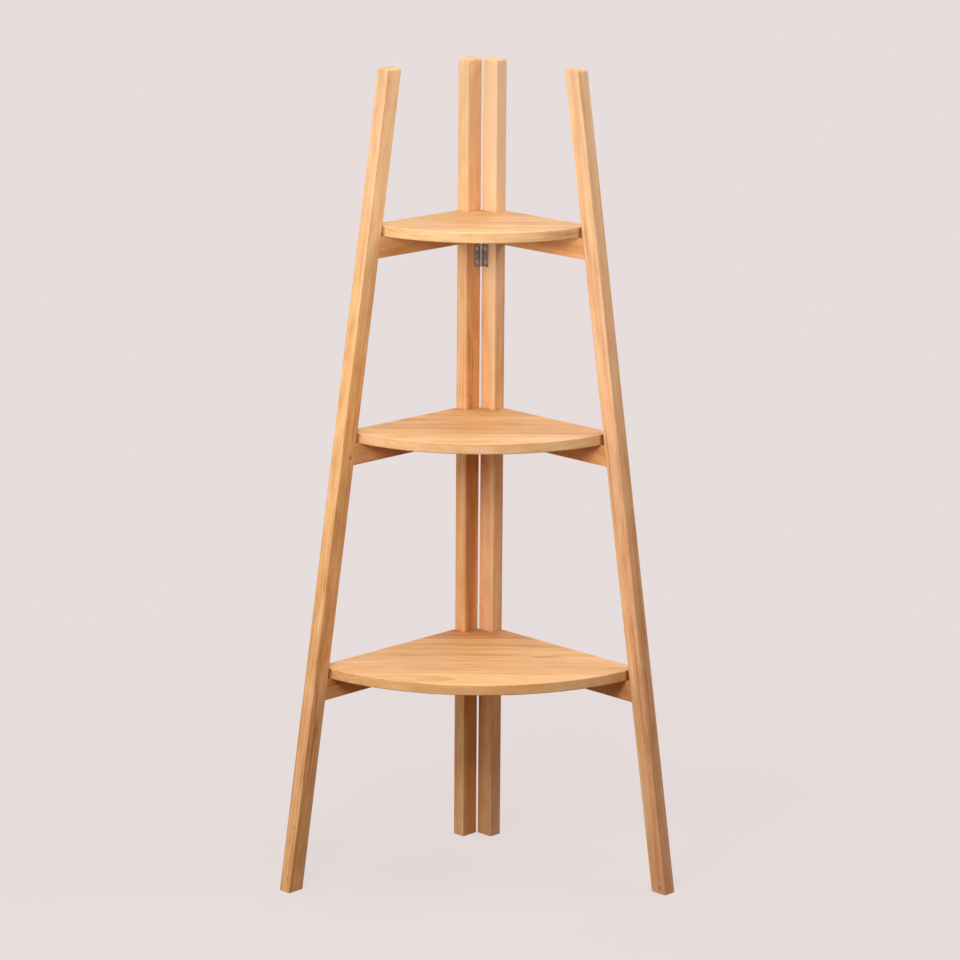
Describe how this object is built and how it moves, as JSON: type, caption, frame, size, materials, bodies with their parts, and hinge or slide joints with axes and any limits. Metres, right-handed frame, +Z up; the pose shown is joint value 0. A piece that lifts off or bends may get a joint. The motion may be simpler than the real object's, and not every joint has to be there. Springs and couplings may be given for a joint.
{
  "type": "folding corner shelf",
  "caption": "Folding corner shelf: two hinged ladder frames with leaning front legs carry lift-off shelves with curved fronts.",
  "frame": {"origin": "on the floor, under the middle of the whole shelf's plan box", "axes": "+Z up, the corner of the two frames at +Y, the curved shelf fronts towards -Y, +X to the right as seen from the front"},
  "size_m": [0.6068, 0.3222, 1.25],
  "materials": {
    "frame_wood": "oiled hardwood, straight grain along each member",
    "shelf_wood": "oiled edge-glued hardwood boards",
    "dowel_wood": "raw beech",
    "hinge_plate": "zinc-plated, slightly dulled",
    "pin_steel": "bright zinc plate",
    "screw_steel": "bright zinc plate"
  },
  "bodies": {
    "left_frame": {"left_post": "frame_wood", "left_leg": "frame_wood", "left_top_rail": "frame_wood", "left_middle_rail": "frame_wood", "left_bottom_rail": "frame_wood", "left_dowels": "dowel_wood", "top_hinge_left_leaf": "hinge_plate", "top_hinge_left_screws": "screw_steel", "bottom_hinge_left_leaf": "hinge_plate", "bottom_hinge_left_screws": "screw_steel", "top_hinge_pin": "pin_steel", "bottom_hinge_pin": "pin_steel"},
    "right_frame": {"right_post": "frame_wood", "right_leg": "frame_wood", "right_top_rail": "frame_wood", "right_middle_rail": "frame_wood", "right_bottom_rail": "frame_wood", "right_dowels": "dowel_wood", "top_hinge_right_leaf": "hinge_plate", "top_hinge_right_screws": "screw_steel", "bottom_hinge_right_leaf": "hinge_plate", "bottom_hinge_right_screws": "screw_steel"},
    "top_shelf": {"top_shelf_board_1": "shelf_wood", "top_shelf_board_2": "shelf_wood", "top_shelf_board_3": "shelf_wood"},
    "middle_shelf": {"middle_shelf_board_1": "shelf_wood", "middle_shelf_board_2": "shelf_wood", "middle_shelf_board_3": "shelf_wood", "middle_shelf_board_4": "shelf_wood"},
    "bottom_shelf": {"bottom_shelf_board_1": "shelf_wood", "bottom_shelf_board_2": "shelf_wood", "bottom_shelf_board_3": "shelf_wood", "bottom_shelf_board_4": "shelf_wood", "bottom_shelf_board_5": "shelf_wood"}
  },
  "joints": [
    {"name": "frame_swing", "type": "hinge", "parent": "left_frame", "child": "right_frame", "pos_m": [0, 0.14288, 0], "axis": [0, 0, 1], "range_deg": [0, 20]},
    {"name": "top_shelf_lift", "type": "slide", "parent": "left_frame", "child": "top_shelf", "axis": [0, 0, 1], "range_m": [0, 0.014]},
    {"name": "middle_shelf_lift", "type": "slide", "parent": "left_frame", "child": "middle_shelf", "axis": [0, 0, 1], "range_m": [0, 0.014]},
    {"name": "bottom_shelf_lift", "type": "slide", "parent": "left_frame", "child": "bottom_shelf", "axis": [0, 0, 1], "range_m": [0, 0.014]}
  ]
}
